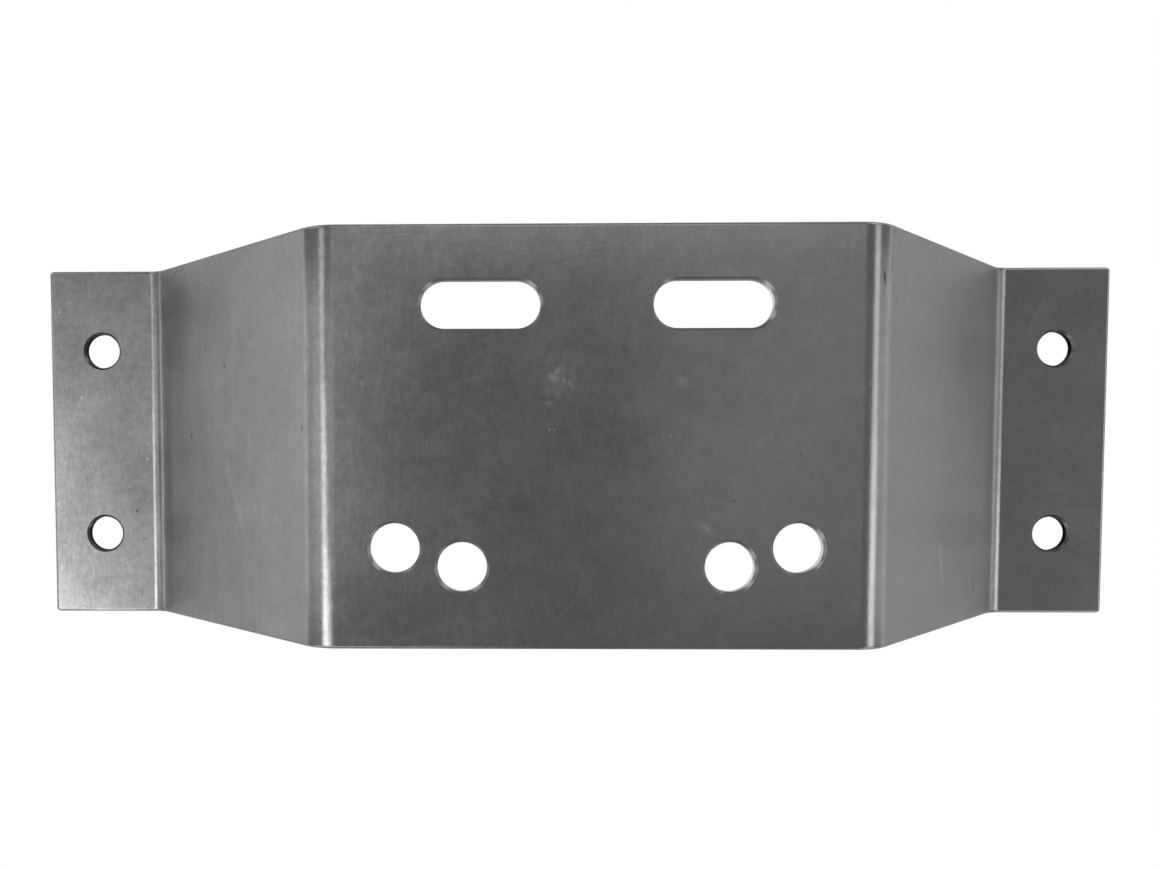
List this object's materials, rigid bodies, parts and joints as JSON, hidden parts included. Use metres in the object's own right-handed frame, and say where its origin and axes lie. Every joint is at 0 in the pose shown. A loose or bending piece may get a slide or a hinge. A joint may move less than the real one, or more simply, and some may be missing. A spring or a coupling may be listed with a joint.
{
  "type": "spare wheel bracket",
  "caption": "Hat-shaped bracket folded from one strip of sheet steel, with slots and stud holes in its raised plate and bolt holes in its end flanges.",
  "frame": {"origin": "on the mounting plane, the plane of the flanges' undersides, under the middle of the raised plate, which is the centre of the bounding box's bottom", "axes": "+X along the strip, +Y across the strip from the paired stud holes towards the slots, +Z out of the mounting plane towards the raised plate that the wheel seats on"},
  "size_m": [0.344, 0.112, 0.065],
  "materials": {
    "sheet_steel": "mill-finished sheet steel with a fine grain, cloudy patches, faint handling scratches and bright worn bends and edges"
  },
  "bodies": {
    "root": {"folded_bracket": "sheet_steel"}
  },
  "joints": []
}
